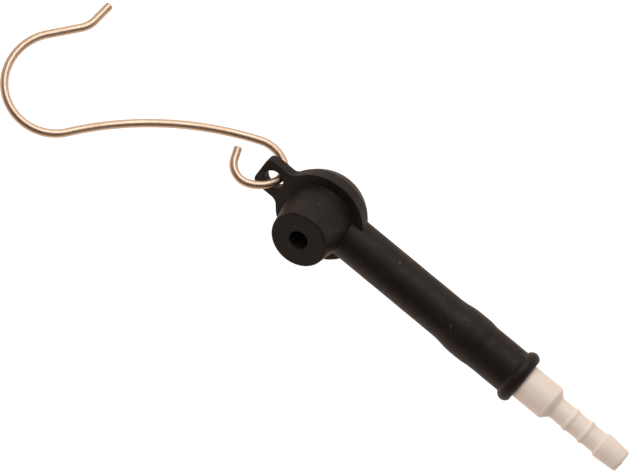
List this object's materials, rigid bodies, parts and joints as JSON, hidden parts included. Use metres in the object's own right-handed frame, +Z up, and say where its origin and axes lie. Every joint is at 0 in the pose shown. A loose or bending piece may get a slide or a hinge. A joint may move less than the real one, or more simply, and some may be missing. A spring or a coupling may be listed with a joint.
{
  "type": "suction tip",
  "caption": "Right-angle rubber suction tip with a conical nozzle, a flange with a hanging lug, a barbed hose connector and a wire hook.",
  "frame": {"origin": "the hook's seat: the highest point of the inside of the hook's crown, in the middle of the wire's thickness", "axes": "+Z up as it hangs, with the tube straight down; +Y along the rail that the hook hangs on, across the flat hook; +X from the crown towards the lug and the hook's mouth"},
  "size_m": [0.0434, 0.0246, 0.1828],
  "materials": {
    "black_rubber": "moulded, dull, slightly dusty",
    "white_plastic": "moulded, satin, warm off-white",
    "steel_wire": "drawn bright wire, slightly dulled"
  },
  "bodies": {
    "hook": {"hanging_hook": "steel_wire"},
    "suction_head": {"rubber_elbow": "black_rubber", "hose_connector": "white_plastic"}
  },
  "joints": [
    {"name": "head_swing", "type": "hinge", "parent": "hook", "child": "suction_head", "pos_m": [0.0182, 0, -0.0685], "axis": [-0.866, -0.5, 0], "range_deg": [-100, 100]}
  ]
}
